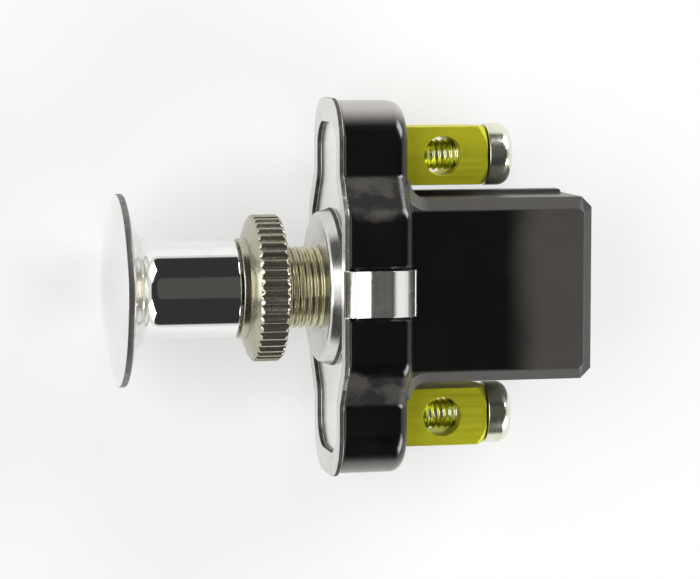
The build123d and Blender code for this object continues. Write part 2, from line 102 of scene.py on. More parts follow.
class Value:
    """One output socket of a shader tree, with arithmetic that adds Math nodes."""

    def __init__(self, graph: "Graph", socket: bpy.types.NodeSocket) -> None:
        """Wrap one socket.

        Args:
            graph: The tree that new Math nodes go into.
            socket: The output socket that holds the value.
        """
        self.graph = graph
        self.socket = socket

    def math(self, operation: str, *inputs: "Value | float") -> "Value":
        """Feed sockets and numbers to one Math node.

        Args:
            operation: The Math node's operation.
            *inputs: What goes into its sockets, in order.

        Returns:
            The node's result.
        """
        return self.graph.node(
            "ShaderNodeMath", {"operation": operation}, dict(enumerate(inputs))
        )

    def __add__(self, other: "Value | float") -> "Value":
        """Sum."""
        return self.math("ADD", self, other)

    __radd__ = __add__

    def __sub__(self, other: "Value | float") -> "Value":
        """Difference."""
        return self.math("SUBTRACT", self, other)

    def __rsub__(self, other: float) -> "Value":
        """Difference from a number."""
        return self.math("SUBTRACT", other, self)

    def __mul__(self, other: "Value | float") -> "Value":
        """Product."""
        return self.math("MULTIPLY", self, other)

    __rmul__ = __mul__

    def __pow__(self, exponent: float) -> "Value":
        """Power."""
        return self.math("POWER", self, exponent)

    def step(self, low: float, high: float) -> "Value":
        """Go smoothly from 0 at the low value to 1 at the high one.

        Args:
            low: Value that gives 0.
            high: Value that gives 1.

        Returns:
            The share between them.
        """
        return self.graph.node(
            "ShaderNodeMapRange",
            {"interpolation_type": "SMOOTHSTEP"},
            {"Value": self, "From Min": low, "From Max": high},
        )


class Graph:
    """Shader tree of one material or of the world."""

    def __init__(self, tree: bpy.types.NodeTree) -> None:
        """Start from an empty tree.

        Args:
            tree: The tree to fill.
        """
        self.tree = tree
        tree.nodes.clear()

    def node(
        self,
        kind: str,
        settings: dict[str, object] | None = None,
        sockets: dict[str | int, object] | None = None,
        output: str | int = 0,
    ) -> Value:
        """Add one node, set it up, and fill its sockets.

        Args:
            kind: The node's type.
            settings: Its own settings, which are set first.
            sockets: Numbers, colours or links, by socket name or place.
            output: Which output to give back.

        Returns:
            The chosen output, or the node's first input where it has no output.
        """
        made = self.tree.nodes.new(kind)
        for name, setting in (settings or {}).items():
            setattr(made, name, setting)
        for name, given in (sockets or {}).items():
            if isinstance(given, Value):
                self.tree.links.new(given.socket, made.inputs[name])
            else:
                made.inputs[name].default_value = given
        ends = made.outputs if made.outputs else made.inputs
        return Value(self, ends[output])

    def place(self) -> Value:
        """Give the point's place on its piece, in millimetres."""
        spot = self.node("ShaderNodeTexCoord", output="Object")
        return self.node(
            "ShaderNodeVectorMath", {"operation": "SCALE"}, {0: spot, "Scale": 1 / MM}
        )

    def parts(self, vector: Value) -> tuple[Value, Value, Value]:
        """Split a vector.

        Args:
            vector: What to split.

        Returns:
            Its X, Y and Z.
        """
        x = self.node("ShaderNodeSeparateXYZ", None, {0: vector}, "X")
        outs = x.socket.node.outputs
        return x, Value(self, outs["Y"]), Value(self, outs["Z"])

    def joined(self, x: Value | float, y: Value | float, z: Value | float) -> Value:
        """Make a vector of three values.

        Args:
            x: Its X.
            y: Its Y.
            z: Its Z.

        Returns:
            The vector.
        """
        return self.node("ShaderNodeCombineXYZ", None, {"X": x, "Y": y, "Z": z})

    def noise(self, at: Value, scale: float, detail: float = 3.0) -> Value:
        """Give smooth noise about 0.5.

        Args:
            at: Where it is read.
            scale: Cells to the unit.
            detail: Octaves.

        Returns:
            The noise.
        """
        return self.node(
            "ShaderNodeTexNoise", None, {"Vector": at, "Scale": scale, "Detail": detail}
        )

    def blend(self, share: Value, low: Value | Colour, high: Value | Colour) -> Value:
        """Mix two colours.

        Args:
            share: 0 for the first, 1 for the second.
            low: First colour.
            high: Second colour.

        Returns:
            The mixed colour.
        """
        made = self.node("ShaderNodeMix", {"data_type": "RGBA"}, {0: share}, 2).socket.node
        for place, shade in ((6, low), (7, high)):
            if isinstance(shade, Value):
                self.tree.links.new(shade.socket, made.inputs[place])
            else:
                made.inputs[place].default_value = (*shade, 1.0)
        return Value(self, made.outputs[2])

    def seen(self) -> Value:
        """Say whether a ray comes from the camera, or by gloss or through glass."""
        camera = self.node("ShaderNodeLightPath", output="Is Camera Ray")
        outs = camera.socket.node.outputs
        glossy = Value(self, outs["Is Glossy Ray"])
        through = Value(self, outs["Is Transmission Ray"])
        return camera.math("MAXIMUM", camera.math("MAXIMUM", camera, glossy), through)

    def relief(self, height: Value, depth: float, edge: float) -> Value:
        """Turn a height into a normal, over edges that are rounded a little.

        Args:
            height: Height from 0 to 1.
            depth: What a height of 1 measures, in millimetres.
            edge: Radius that sharp edges seem to have, in millimetres.

        Returns:
            The normal.
        """
        soft = self.node(
            "ShaderNodeBevel", {"samples": BEVEL_SAMPLES}, {"Radius": edge * MM}
        )
        return self.node(
            "ShaderNodeBump",
            None,
            {"Height": height, "Distance": depth * MM, "Strength": 1.0, "Normal": soft},
        )

    def surface(self, sockets: dict[str | int, object]) -> None:
        """End the tree in one Principled surface.

        Args:
            sockets: What goes into the surface.
        """
        shader = self.node("ShaderNodeBsdfPrincipled", None, sockets)
        self.node("ShaderNodeOutputMaterial", None, {"Surface": shader})


def blank(name: str) -> tuple[bpy.types.Material, Graph]:
    """Start a material with an empty tree.

    Args:
        name: The material's name.

    Returns:
        The material and its tree.
    """
    made = bpy.data.materials.new(name)
    made.use_nodes = True
    return made, Graph(made.node_tree)


class Marks(Enum):
    """Which way the tool marks of a surface run."""

    TURNED = "rings round the X axis"
    DRAWN = "lines along X"
    ROLLED = "lines along Y"
    CAST = "none"


@dataclass(frozen=True)
class Crown:
    """Soft arch of a bent tab: flat in its middle, then sloping to both ends."""

    middle_x: float
    flat_half: float
    softness: float
    slope: float
    from_z: float
    half_y: float
    fade_z: float = 0.3
    fade_y: float = 0.1

    def height(self, graph: Graph, place: Value) -> Value:
        """Give the arch's height, which is 0 in its middle and off the tab.

        Args:
            graph: The material's tree.
            place: The point's place in millimetres.

        Returns:
            Height in millimetres.
        """
        x, y, z = graph.parts(place)
        offset = x - self.middle_x
        away = offset.math("ABSOLUTE", offset) - self.flat_half
        run = away.math("MAXIMUM", away, 0.0)
        drop = ((run * run + self.softness**2) ** 0.5 - self.softness) * self.slope
        height = z.math("ABSOLUTE", z)
        inside = 1.0 - y.math("ABSOLUTE", y).step(self.half_y, self.half_y + self.fade_y)
        return drop * height.step(self.from_z - self.fade_z, self.from_z) * inside * -1.0


@dataclass(frozen=True)
class PaintedShadeLine:
    """Painted shade in a narrow band between two stations, where a piece has a step or a rim: a
    darker base colour that stands in for shade and dark reflection.
    """

    front_x: float
    rear_x: float
    inner_r: float
    outer_z: float
    colour: Colour
    fade: float = 0.08
    fade_z: float = 0.4

    def share(self, graph: Graph, place: Value) -> Value:
        """Say how much of the painted shade is on a point.

        Args:
            graph: The material's tree.
            place: The point's place in millimetres.

        Returns:
            Share from 0 to 1.
        """
        x, y, z = graph.parts(place)
        radius = (y * y + z * z) ** 0.5
        band = x.step(self.front_x, self.front_x + self.fade)
        band = band - x.step(self.rear_x - self.fade, self.rear_x)
        high = z.math("ABSOLUTE", z).step(self.outer_z - self.fade_z, self.outer_z)
        return band * radius.step(self.inner_r - self.fade, self.inner_r) * (1.0 - high)


@dataclass(frozen=True)
class Metal:
    """Bright metal with tool marks, uneven polish, dulling and edges that catch light, with an
    optional painted shade band and an optional painted brighter rear.
    """

    name: str
    colour: Colour
    dulled: Colour
    roughness: float
    dull_share: float = 0.5
    marks: Marks = Marks.TURNED
    mark_depth: float = 0.004
    marks_per_mm: float = 3.0
    edge: float = 0.12
    crown: Crown | None = None
    # Painted shade band: darkens the base colour between two stations.
    line: PaintedShadeLine | None = None
    # Painted reflection: a brighter base colour behind a station, standing in for brighter
    # reflected light.
    painted_brighter_colour: Colour | None = None
    painted_brighter_x: Range = (1.65, 1.85)
    stretch: float = 0.04
    cloud_scale: float = 0.16
    smear_scale: float = 0.9
    dull_range: Range = (0.44, 0.66)
    dull_roughness: float = 0.12
    line_roughness: float = 0.4

    def tool_marks(self, graph: Graph, place: Value) -> Value:
        """Give the height of the tool marks.

        Args:
            graph: The material's tree.
            place: The point's place in millimetres.

        Returns:
            Height from 0 to 1.
        """
        x, y, z = graph.parts(place)
        if self.marks is Marks.TURNED:
            radius = (y * y + z * z) ** 0.5
            line = graph.joined(x, radius, 0.0)
        elif self.marks is Marks.DRAWN:
            line = graph.joined(x * self.stretch, y, z)
        elif self.marks is Marks.ROLLED:
            line = graph.joined(x, y * self.stretch, z)
        else:
            line = place
        return graph.noise(line, self.marks_per_mm, 4.0)

    def build(self) -> bpy.types.Material:
        """Make the material.

        Returns:
            The finished material.
        """
        made, graph = blank(self.name)
        place = graph.place()
        marks = self.tool_marks(graph, place)
        clouds = graph.noise(place, self.cloud_scale, 4.0)
        smears = graph.noise(place, self.smear_scale, 5.0)
        grime = (clouds * 0.6 + smears * 0.4).step(*self.dull_range) * self.dull_share
        shade = graph.blend(grime, self.colour, self.dulled)
        uneven = (marks - 0.5) * (0.5 * self.roughness)
        rough = self.roughness + uneven + grime * self.dull_roughness
        # Painted reflection: behind the station the base colour is brighter, standing in for
        # brighter reflected light.
        if self.painted_brighter_colour:
            station = graph.parts(place)[0]
            shade = graph.blend(station.step(*self.painted_brighter_x), shade, self.painted_brighter_colour)
        # Painted shade: darken the base colour in the band; the roughness rises there too.
        if self.line:
            share = self.line.share(graph, place) * (0.8 + smears * 0.3)
            shade = graph.blend(share, shade, self.line.colour)
            rough = rough + share * self.line_roughness
        height = (marks * 0.8 + smears * 0.2) * self.mark_depth
        if self.crown:
            height = height + self.crown.height(graph, place)
        graph.surface(
            {
                "Base Color": shade,
                "Metallic": 1.0,
                "Roughness": rough,
                "Normal": graph.relief(height, 1.0, self.edge),
            }
        )
        return made


@dataclass(frozen=True)
class Moulding:
    """Moulded resin: deep colour, flow clouds, dust, a slight waviness, and painted sheen: paler,
    rougher patches whose colour stands in for reflected light.
    """

    name: str
    colour: Colour
    cloud: Colour
    roughness: float
    # Painted sheen: a paler base colour that stands in for reflected light; the roughness added
    # there is real haze.
    painted_sheen: Colour | None = None
    sheen_and_haze_x: Range = (23.4, 29.0)
    haze_roughness: float = 0.16
    flare_y: Range = (10.0, 15.6)
    flare_end_x: float = 10.6
    side_y: Range = (10.5, 10.9)
    chamfer_x: float = 34.6
    tip_y: Range = (21.8, 24.6)
    # Painted highlight on the rounded ear tips; the lower tip gets less of it, as it faces away
    # from the light.
    painted_tip_sheen: Colour = (0.42, 0.4, 0.37)
    tip_roughness: float = 0.14
    low_tip_share: float = 0.4
    border: float = 5.0
    flow_scale: float = 0.13
    wave_scale: float = 0.35
    grain_scale: float = 6.0
    speck_scale: float = 1.1
    speck_size: Range = (0.03, 0.09)
    dust_colour: Colour = (0.5, 0.48, 0.45)
    ior: float = 1.56
    waviness: float = 0.012
    dust: float = 0.04
    edge: float = 0.3

    def sheen_and_haze_share(self, graph: Graph, place: Value, clouds: Value) -> Value:
        """Say where the sheen is painted and the gloss is hazed: the rear, the box's sides and
        the flange's flares.

        Args:
            graph: The material's tree.
            place: The point's place in millimetres.
            clouds: Noise that makes the borders uneven.

        Returns:
            Share from 0 to 1.
        """
        x, y, _ = graph.parts(place)
        uneven = (clouds - 0.5) * self.border
        rear = (x + uneven * 0.5).step(*self.sheen_and_haze_x)
        away = y.math("ABSOLUTE", y)
        start, end = self.flare_y
        flare = (away + uneven).step(start, start + 1.2) - away.step(end - 0.8, end)
        front = 1.0 - x.step(self.flare_end_x - 0.8, self.flare_end_x)
        patchy = graph.noise(place, 0.3, 3.0).step(0.4, 0.62)
        flared = flare * front * (0.35 + patchy * 0.65)
        side = away.step(*self.side_y) * x.step(self.flare_end_x, self.flare_end_x + 0.4)
        chamfer = 1.0 - x.step(self.chamfer_x, self.chamfer_x + 0.3)
        return rear.math("MAXIMUM", rear.math("MAXIMUM", rear, side) * chamfer, flared)

    def build(self) -> bpy.types.Material:
        """Make the material.

        Returns:
            The finished material.
        """
        made, graph = blank(self.name)
        place = graph.place()
        clouds = graph.noise(place, self.flow_scale, 4.0)
        waves = graph.noise(place, self.wave_scale, 2.0)
        grain = graph.noise(place, self.grain_scale, 3.0)
        specks = graph.node(
            "ShaderNodeTexVoronoi",
            None,
            {"Vector": place, "Scale": self.speck_scale},
            "Distance",
        )
        dust = (1.0 - specks.step(*self.speck_size)) * grain.step(0.45, 0.6) * self.dust
        shade = graph.blend(clouds.step(0.4, 0.65), self.colour, self.cloud)
        rough = self.roughness + grain * 0.05 + clouds * 0.06 + dust
        # Painted sheen: paler base colour on the rear, the box's sides and the flange's flares,
        # standing in for reflected light; the added roughness is real haze.
        if self.painted_sheen:
            sheen_and_haze = self.sheen_and_haze_share(graph, place, clouds)
            shade = graph.blend(sheen_and_haze * (0.8 + grain * 0.2), shade, self.painted_sheen)
            rough = rough + sheen_and_haze * self.haze_roughness
            # Painted highlight: paler base colour on the ear tips, less on the lower one, which
            # faces away from the light.
            y = graph.parts(place)[1]
            low_tip = (y * -1.0).step(*self.tip_y) * self.low_tip_share
            tip = low_tip.math("MAXIMUM", low_tip, y.step(*self.tip_y))
            shade = graph.blend(tip * (0.85 + grain * 0.15), shade, self.painted_tip_sheen)
            rough = rough + tip * self.tip_roughness
        graph.surface(
            {
                "Base Color": graph.blend(dust, shade, self.dust_colour),
                "Roughness": rough,
                "IOR": self.ior,
                "Normal": graph.relief(waves * 0.9 + grain * 0.1, self.waviness, self.edge),
            }
        )
        return made


@dataclass(frozen=True)
class Fibre:
    """Pressed fibre board: mottled, with short strands and a dry surface."""

    name: str
    colour: Colour
    strand: Colour
    roughness: float = 0.72
    edge: float = 0.05
    strand_stretch: float = 0.25
    strand_scale: float = 5.0
    cloud_scale: float = 0.5
    strand_depth: float = 0.02

    def build(self) -> bpy.types.Material:
        """Make the material.

        Returns:
            The finished material.
        """
        made, graph = blank(self.name)
        place = graph.place()
        x, y, z = graph.parts(place)
        along = graph.joined(x, y * self.strand_stretch, z)
        strands = graph.noise(along, self.strand_scale, 5.0)
        clouds = graph.noise(place, self.cloud_scale, 3.0)
        share = strands.step(0.4, 0.66) * 0.6 + clouds.step(0.4, 0.7) * 0.4
        graph.surface(
            {
                "Base Color": graph.blend(share, self.colour, self.strand),
                "Roughness": self.roughness + strands * 0.15,
                "Normal": graph.relief(strands, self.strand_depth, self.edge),
            }
        )
        return made


@dataclass(frozen=True)
class Corner:
    """Corner of a turned outline: its station along the axis, its radius and its rounding."""

    x: float
    r: float
    rounding: float = 0.0


@dataclass(frozen=True)
class Outline:
    """Outline of a turned piece, from corner to corner."""

    corners: tuple[Corner, ...]
    closed: bool = False
    arc_steps: int = 5
    support: float = 0.03
    room_share: float = 0.45

    def rounded_corner(self, before: Corner, at: Corner, after: Corner) -> list[Point]:
        """Replace a corner by a small arc with a close point on each side.

        Args:
            before: The corner before it.
            at: The corner itself.
            after: The corner after it.

        Returns:
            Points along the outline.
        """
        corner = Vector((at.x, at.r))
        back = Vector((before.x, before.r)) - corner
        ahead = Vector((after.x, after.r)) - corner
        room = self.room_share * min(back.length, ahead.length)
        half = back.angle(ahead) / 2
        reach = min(at.rounding / math.tan(half), room)
        radius = reach * math.tan(half)
        back.normalize()
        ahead.normalize()
        centre = corner + (back + ahead).normalized() * (radius / math.sin(half))
        first = (corner + back * reach - centre).normalized()
        last = (corner + ahead * reach - centre).normalized()
        made = []
        if reach + self.support < room:
            made.append(corner + back * (reach + self.support))
        for number in range(self.arc_steps + 1):
            share = number / self.arc_steps
            made.append(centre + first.slerp(last, share) * radius)
        if reach + self.support < room:
            made.append(corner + ahead * (reach + self.support))
        return [(point.x, max(point.y, 0.0)) for point in made]

    def points(self) -> list[Point]:
        """Give the outline's points.

        Returns:
            Station and radius of each point, in order.
        """
        count = len(self.corners)
        made: list[Point] = []
        for number, at in enumerate(self.corners):
            inner = self.closed or 0 < number < count - 1
            if at.rounding > 0 and inner:
                before = self.corners[number - 1]
                after = self.corners[(number + 1) % count]
                made.extend(self.rounded_corner(before, at, after))
            else:
                made.append((at.x, at.r))
        return made


@dataclass(frozen=True)
class Thread:
    """Helical thread with rounded crests and roots, cut into a cylinder round the X axis."""

    crest: float
    pitch: float
    start: float
    end: float
    depth_share: float = 0.32
    slack: float = 0.001
    least_share: float = 0.8

    def stations(self, steps: int = 14) -> list[float]:
        """Give the stations at which rings follow the thread.

        Args:
            steps: Rings to the pitch.

        Returns:
            The stations, from start to end.
        """
        count = math.ceil((self.end - self.start) / self.pitch * steps)
        return [self.start + (self.end - self.start) * n / count for n in range(count + 1)]

    def radius(self, x: float, r: float, angle: float) -> float:
        """Cut the thread into a radius.

        Args:
            x: Station.
            r: Radius of the plain piece there.
            angle: Angle round the axis.

        Returns:
            The radius, lowered into the thread's groove.
        """
        on_thread = self.start - self.slack <= x <= self.end + self.slack
        if not on_thread or r < self.crest * self.least_share:
            return r
        turn = x / self.pitch - angle / math.tau
        groove = (1.0 - math.cos(math.tau * turn)) / 2
        return min(r, self.crest - self.depth_share * self.pitch * groove)


@dataclass(frozen=True)
class Knurl:
    """Straight ridges round a turned piece."""

    radius: float
    count: int
    depth: float
    half_width: float
    sharpness: float = 1.2

    def cut(self, x: float, r: float, angle: float) -> float:
        """Cut the grooves into a radius.

        Args:
            x: Station, which the straight ridges don't depend on.
            r: Radius of the plain piece there.
            angle: Angle round the axis.

        Returns:
            The radius, lowered into the groove.
        """
        pitch = math.tau / self.count
        away = abs((angle / pitch) % 1.0 - 0.5) * pitch * self.radius
        if away >= self.half_width:
            return r
        dip = math.cos(math.pi / 2 * away / self.half_width) ** self.sharpness
        return min(r, self.radius - self.depth * dip)


def turn(
    name: str,
    outline: Sequence[Point],
    closed: bool,
    segments: int,
    relief: Relief | None = None,
    axis_y: float = 0.0,
) -> bpy.types.Object:
    """Turn an outline round the X axis, or round a line beside it, into a smooth mesh.

    Args:
        name: The piece's name.
        outline: Station and radius of each point.
        closed: Whether the last point joins the first, as on a piece with a bore.
        segments: Faces round the axis.
        relief: Changes a radius by station and angle, for threads and knurls.
        axis_y: Y of the axis.

    Returns:
        The new piece.
    """
    mesh = bmesh.new()
    rings: list[list[bmesh.types.BMVert]] = []
    for x, r in outline:
        if r < 1e-6:
            rings.append([mesh.verts.new((x * MM, axis_y * MM, 0.0))] * segments)
            continue
        ring = []
        for number in range(segments):
            angle = math.tau * number / segments
            radius = relief(x, r, angle) if relief else r
            across = axis_y + radius * math.cos(angle)
            ring.append(mesh.verts.new((x * MM, across * MM, radius * math.sin(angle) * MM)))
        rings.append(ring)
    pairs = list(zip(rings, rings[1:]))
    if closed:
        pairs.append((rings[-1], rings[0]))
    for low, high in pairs:
        for number in range(segments):
            after = (number + 1) % segments
            around = [low[number], low[after], high[after], high[number]]
            loop = [v for n, v in enumerate(around) if v is not around[n - 1]]
            if len(loop) > 2:
                mesh.faces.new(loop)
    return finished(name, mesh)


def finished(name: str, mesh: bmesh.types.BMesh) -> bpy.types.Object:
    """Make an object of a mesh, smooth but for its sharp edges.

    Args:
        name: The piece's name.
        mesh: Its mesh, which is freed.

    Returns:
        The new piece.
    """
    bmesh.ops.recalc_face_normals(mesh, faces=mesh.faces)
    for face in mesh.faces:
        face.smooth = True
    for edge in mesh.edges:
        if len(edge.link_faces) == 2:
            edge.smooth = edge.calc_face_angle() < math.radians(SHARP_DEG)
    data = bpy.data.meshes.new(name)
    mesh.to_mesh(data)
    mesh.free()
    made = bpy.data.objects.new(name, data)
    bpy.context.scene.collection.objects.link(made)
    return made


def cut_box(piece: bpy.types.Object, low: Sequence[float], high: Sequence[float]) -> None:
    """Cut a box out of a piece.

    Args:
        piece: What is cut.
        low: The box's lowest corner, in millimetres.
        high: Its highest corner.
    """
    mesh = bmesh.new()
    size = [(h - l) * MM for l, h in zip(low, high)]
    middle = [(h + l) / 2 * MM for l, h in zip(low, high)]
    bmesh.ops.create_cube(
        mesh, size=1.0, matrix=Matrix.Translation(middle) @ Matrix.Diagonal((*size, 1.0))
    )
    cutter = finished("cutter", mesh)
    step = piece.modifiers.new("slot", "BOOLEAN")
    step.operation = "DIFFERENCE"
    step.object = cutter
    graph = bpy.context.evaluated_depsgraph_get()
    cut = bpy.data.meshes.new_from_object(piece.evaluated_get(graph))
    piece.modifiers.clear()
    piece.data = cut
    bpy.data.objects.remove(cutter)
    cut.set_sharp_from_angle(angle=math.radians(SHARP_DEG))


def dress(piece: bpy.types.Object, material: bpy.types.Material) -> None:
    """Give a piece its one material.

    Args:
        piece: What is dressed.
        material: Its finish.
    """
    if piece.material_slots:
        for place in piece.material_slots:
            place.material = material
    else:
        piece.data.materials.append(material)


@dataclass
class Part:
    """What the switch's sub-assemblies share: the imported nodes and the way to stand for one."""

    nodes: dict[str, bpy.types.Object]

    def stand_in(
        self,
        piece: bpy.types.Object,
        node: str,
        body: str,
        slot: str,
        finish: bpy.types.Material,
    ) -> None:
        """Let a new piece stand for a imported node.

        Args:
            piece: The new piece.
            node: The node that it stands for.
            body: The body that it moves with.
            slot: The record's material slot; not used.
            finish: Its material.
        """
        dress(piece, finish)
        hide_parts(node)
        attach(piece, body)
        LOG.info("%s stands for %s", piece.name, node)

    def span(self, node: str) -> tuple[Vector, Vector]:
        """Read a node's box from the frame.

        Args:
            node: The node.

        Returns:
            Its lowest and highest corner at rest, in millimetres.
        """
        low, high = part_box(node)
        return Vector(low) / MM, Vector(high) / MM

    def dress_nodes(self, names: Iterable[str], finish: bpy.types.Material) -> None:
        """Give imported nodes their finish.

        Args:
            names: The nodes.
            finish: Their material.
        """
        for name in names:
            dress(self.nodes[name], finish)
            LOG.info("%s dressed in %s", name, finish.name)


@dataclass
class Knob(Part):
    """Chrome knob: shallow dome, hollow flare, neck and blind bore, in one turning."""

    neck_radius: float = 6.65
    neck_length: float = 10.9
    flare_length: float = 2.6
    flare_lip: float = 1.6
    back_depth: float = 1.5
    rim_thickness: float = 1.0
    rim_rounding: float = 0.2
    bore_radius: float = 3.175
    crown_wall: float = 2.2
    rear_rounding: float = 0.3
    bore_rounding: float = 0.05
    dome_steps: int = 22
    rim_steps: int = 6
    flare_steps: int = 14
    segments: int = 160

    def dome(self, apex: float, rim_front: float, edge: float) -> list[Corner]:
        """Give the dome from its middle to the rim.

        Args:
            apex: Station of its middle.
            rim_front: Station of its edge.
            edge: Radius of its edge.

        Returns:
            Its corners.
        """
        rise = rim_front - apex
        sphere = (edge**2 + rise**2) / (2 * rise)
        reach = math.asin(edge / sphere)
        angles = [reach * n / self.dome_steps for n in range(self.dome_steps + 1)]
        return [
            Corner(apex + sphere * (1 - math.cos(a)), sphere * math.sin(a)) for a in angles
        ]

    def rim(self, rim_back: float, edge: float) -> list[Corner]:
        """Give the rim behind the dome: a land with two rounded edges.

        Args:
            rim_back: Station of its back.
            edge: Radius at its front and back.

        Returns:
            Its corners.
        """
        small, steps = self.rim_rounding, self.rim_steps
        rim_front = rim_back - self.rim_thickness
        made = []
        for station, turned in ((rim_front + small, 0), (rim_back - small, steps)):
            for number in range(turned, turned + steps + 1):
                angle = math.pi * number / (2 * steps)
                made.append(
                    Corner(station - small * math.cos(angle), edge + small * math.sin(angle))
                )
        return made[1:]

    def flare(self, neck_front: float) -> list[Corner]:
        """Give the hollow curve from the back of the head down to the neck.

        Args:
            neck_front: Station where the neck starts.

        Returns:
            Its corners.
        """
        radius = (self.flare_length**2 + self.flare_lip**2) / (2 * self.flare_lip)
        reach = math.asin(self.flare_length / radius)
        angles = [reach * (1 - n / self.flare_steps) for n in range(self.flare_steps + 1)]
        return [
            Corner(
                neck_front - radius * math.sin(a),
                self.neck_radius + radius * (1 - math.cos(a)),
            )
            for a in angles
        ]

    def build(self, finish: bpy.types.Material) -> None:
        """Build and dress the knob.

        Args:
            finish: Its chrome.
        """
        low, high = self.span("knob")
        apex, neck_rear = low.x, high.x
        neck_front = neck_rear - self.neck_length
        rim_back = neck_front - self.flare_length - self.back_depth
        edge = high.z - self.rim_rounding
        corners = [
            *self.dome(apex, rim_back - self.rim_thickness, edge),
            *self.rim(rim_back, edge),
            *self.flare(neck_front),
            Corner(neck_rear, self.neck_radius, self.rear_rounding),
            Corner(neck_rear, self.bore_radius, self.bore_rounding),
            Corner(apex + self.crown_wall, self.bore_radius),
            Corner(apex + self.crown_wall, 0.0),
        ]
        points = Outline(tuple(corners)).points()
        piece = turn("domed_knob", points, False, self.segments)
        self.stand_in(piece, "knob", "plunger", "chrome_plate", finish)


@dataclass
class FaceNut(Part):
    """Face nut: knurled grip, cone and collar."""

    grip_length: float = 3.9
    cone_length: float = 0.8
    cone_step: float = 0.25
    cone_drop: float = 0.5
    face_drop: float = 0.35
    chamfer_length: float = 0.4
    collar_radius: float = 6.75
    bore_radius: float = 5.606
    knurls: int = 45
    knurl_depth: float = 0.42
    knurl_half_width: float = 0.52
    facets: int = 12

    def build(self, finish: bpy.types.Material) -> None:
        """Build and dress the nut.

        Args:
            finish: Its plating.
        """
        low, high = self.span("face_nut")
        front, rear, radius = low.x, high.x, high.z
        grip_front = rear - self.grip_length
        cone_front = grip_front - self.cone_length
        corners = (
            Corner(rear, self.bore_radius, 0.1),
            Corner(rear, radius - self.face_drop, 0.2),
            Corner(rear - self.chamfer_length, radius, 0.2),
            Corner(grip_front + self.chamfer_length, radius, 0.2),
            Corner(grip_front, radius - self.cone_drop, 0.15),
            Corner(cone_front, self.collar_radius + self.cone_step, 0.1),
            Corner(cone_front, self.collar_radius),
            Corner(front, self.collar_radius, 0.2),
            Corner(front, self.bore_radius, 0.15),
        )
        knurl = Knurl(radius, self.knurls, self.knurl_depth, self.knurl_half_width)
        points = Outline(corners, closed=True, arc_steps=4).points()
        piece = turn("knurled_nut", points, True, self.knurls * self.facets, knurl.cut)
        self.stand_in(piece, "face_nut", "face_nut", "nut_nickel", finish)


@dataclass
class ThreadedStem(Part):
    """Threaded stem with its flange behind the plate and its guide tail."""

    thread_end: float = 0.45
    flange_front: float = 0.6
    flange_rear: float = 1.8
    thread_radius: float = 5.556
    tip_radius: float = 5.0
    relief_depth: float = 0.3
    tail_radius: float = 4.2
    bore_radius: float = 3.225
    pitch: float = 0.907
    segments: int = 112

    def build(self, finish: bpy.types.Material) -> None:
        """Build and dress the stem.

        Args:
            finish: Its plating.
        """
        low, high = self.span("threaded_stem")
        front, rear, flange_radius = low.x, high.x, high.z
        thread = Thread(self.thread_radius, self.pitch, front, self.thread_end)
        run = [
            (x, min(self.thread_radius, self.tip_radius + x - front))
            for x in thread.stations()
        ]
        rest = Outline(
            (
                Corner(self.flange_front, self.thread_radius - self.relief_depth),
                Corner(self.flange_front, flange_radius, 0.1),
                Corner(self.flange_rear, flange_radius, 0.1),
                Corner(self.flange_rear, self.tail_radius),
                Corner(rear, self.tail_radius, 0.1),
                Corner(rear, self.bore_radius, 0.1),
                Corner(front, self.bore_radius),
            )
        ).points()
        piece = turn("threaded_bush", [*run, *rest], True, self.segments, thread.radius)
        self.stand_in(piece, "threaded_stem", "switch_body", "stem_plate", finish)


@dataclass
class TerminalScrew(Part):
    """Round-headed slotted screw of one terminal."""

    side: str = "upper"
    head_height: float = 3.4
    head_rounding: float = 1.9
    radius: float = 2.083
    tip_radius: float = 1.6
    thread_gap: float = 0.3
    thread_steps: int = 10
    slot_width: float = 1.1
    slot_depth: float = 1.2
    slot_overrun: float = 1.0
    pitch: float = 0.794
    segments: int = 72

    def build(self, finish: bpy.types.Material) -> None:
        """Build and dress the screw.

        Args:
            finish: Its plating.
        """
        node = f"terminal_screw_{self.side}"
        low, high = self.span(node)
        tip, head_rear = low.x, high.x
        head_front = head_rear - self.head_height
        head_radius = high.z
        axis_y = (low.y + high.y) / 2
        thread = Thread(self.radius, self.pitch, tip + 0.01, head_front - self.thread_gap)
        run = [
            (x, min(self.radius, self.tip_radius + x - tip))
            for x in thread.stations(self.thread_steps)
        ]
        head = Outline(
            (
                Corner(head_front, self.radius),
                Corner(head_front, head_radius, 0.15),
                Corner(head_rear, head_radius, self.head_rounding),
                Corner(head_rear, 0.0),
            ),
            arc_steps=12,
        ).points()
        points = [(tip, 0.0), *run, *head]
        name = f"terminal_screw_head_{self.side}"
        piece = turn(name, points, False, self.segments, thread.radius, axis_y)
        reach = head_radius + self.slot_overrun
        slot_low = (head_rear - self.slot_depth, axis_y - reach, -self.slot_width / 2)
        slot_high = (head_rear + self.slot_overrun, axis_y + reach, self.slot_width / 2)
        cut_box(piece, slot_low, slot_high)
        self.stand_in(piece, node, f"{self.side}_screw", "screw_nickel", finish)


@dataclass
class Case(Part):
    """Mounting plate, insulator and black housing."""

    def build(self, plate: Metal, moulding: Moulding, sheet: Fibre) -> None:
        """Dress the plate, the housing and the insulator.

        Args:
            plate: Nickel plate of the pressed sheet.
            moulding: Black resin.
            sheet: Fibre of the insulator.
        """
        self.dress_nodes(["mounting_plate"], plate.build())
        self.dress_nodes(["housing"], moulding.build())
        self.dress_nodes(["insulator_sheet", "fibre_washer"], sheet.build())


